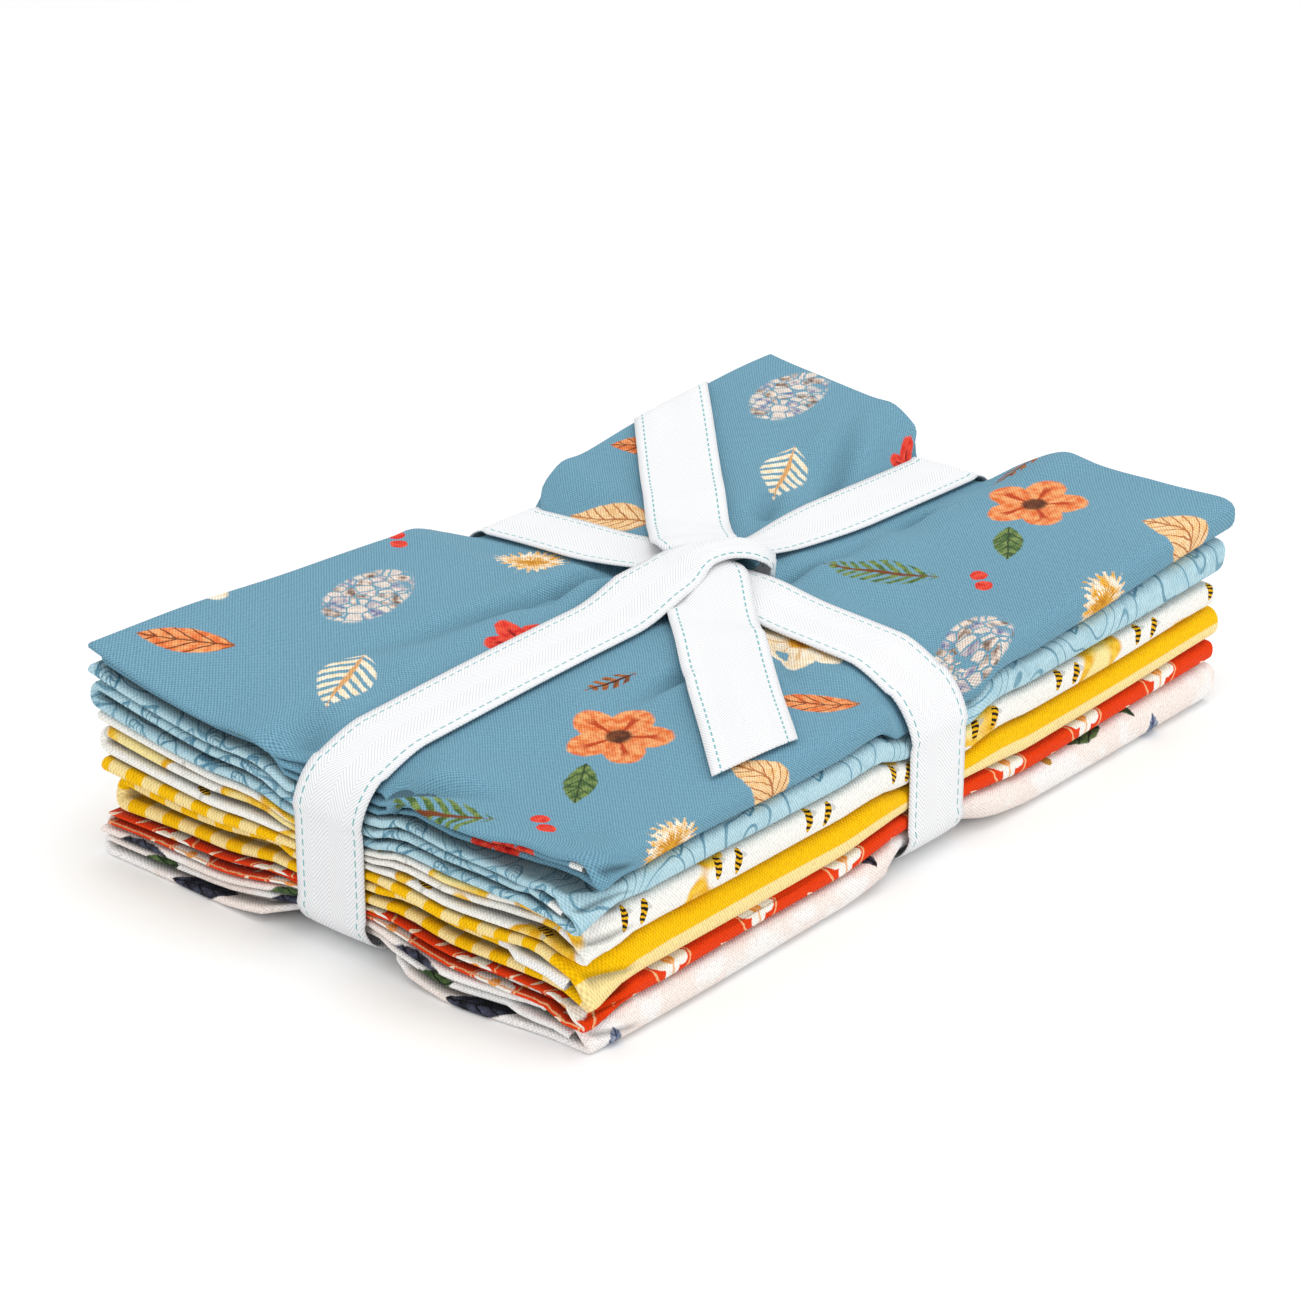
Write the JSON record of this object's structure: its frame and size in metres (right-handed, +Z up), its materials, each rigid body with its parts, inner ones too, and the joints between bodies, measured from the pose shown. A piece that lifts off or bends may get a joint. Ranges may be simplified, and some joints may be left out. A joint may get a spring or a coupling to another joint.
{
  "type": "fabric bundle",
  "caption": "Stack of folded quilting cottons in blues, cream, mustard stripe, red and blush, tied crosswise with a knotted white ribbon.",
  "frame": {"origin": "centre of the bundle's bounding box at the height of the surface it rests on", "axes": "+X along the bundle's long side, +Y along its short side, +Z up through the stack"},
  "size_m": [0.3011, 0.1898, 0.0722],
  "materials": {
    "cotton_blush": "matt quilting cotton, pale blush with white brush marks and dark leaf patches",
    "cotton_red": "matt quilting cotton, orange red with white petals and pale cross lines",
    "cotton_stripe": "matt quilting cotton, mustard and pale yellow stripes",
    "cotton_cream": "matt quilting cotton, cream with small bees and golden patches",
    "cotton_pale_blue": "matt quilting cotton, pale blue with fine blue leaf drawing",
    "cotton_blue": "matt quilting cotton, dusty blue with scattered flowers, leaves and pebbles",
    "ribbon_tape": "white twill tape with a turquoise dashed line inside each edge"
  },
  "bodies": {
    "root": {"cloth_blush": "cotton_blush", "cloth_red": "cotton_red", "cloth_stripe": "cotton_stripe", "cloth_cream": "cotton_cream", "cloth_pale_blue": "cotton_pale_blue", "cloth_blue": "cotton_blue", "ribbon": "ribbon_tape"}
  },
  "joints": []
}
